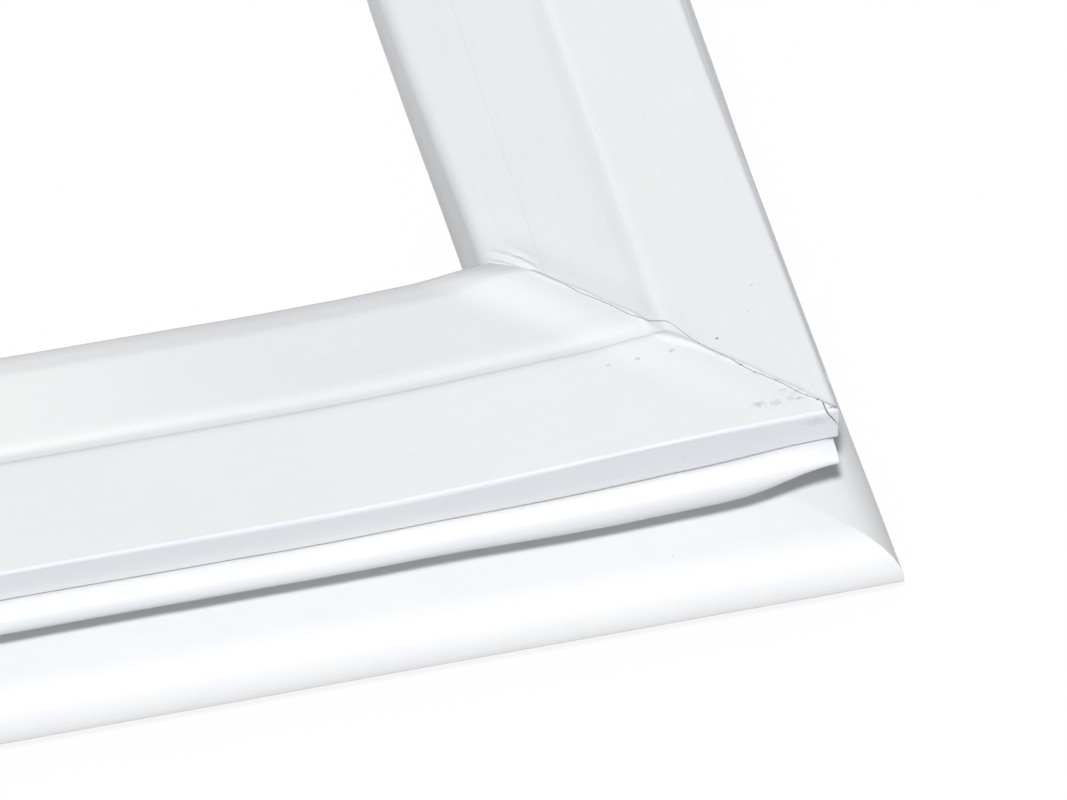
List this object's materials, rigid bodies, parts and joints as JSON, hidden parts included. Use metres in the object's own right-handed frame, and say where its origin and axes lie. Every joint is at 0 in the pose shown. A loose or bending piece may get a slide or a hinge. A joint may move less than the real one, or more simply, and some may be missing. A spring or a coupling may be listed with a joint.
{
  "type": "refrigerator door gasket",
  "caption": "Rectangular magnetic door seal: white hollow bellows profile with a magnet pocket, sealing lobe, petal and push-in dart, mitred and welded at its corners.",
  "frame": {"origin": "middle of the frame, in the plane of the dart tips that it rests on", "axes": "+X along the long sides, +Y along the short sides, +Z from the dart towards the magnet face that seals"},
  "size_m": [0.56, 0.36, 0.0221],
  "materials": {
    "white_pvc": "smooth satin flexible white PVC",
    "magnet_rubber": "matt ferrite-filled magnet strip"
  },
  "bodies": {
    "root": {"gasket_frame": "white_pvc", "magnet_strip_front": "magnet_rubber", "magnet_strip_right": "magnet_rubber", "magnet_strip_back": "magnet_rubber", "magnet_strip_left": "magnet_rubber"}
  },
  "joints": []
}
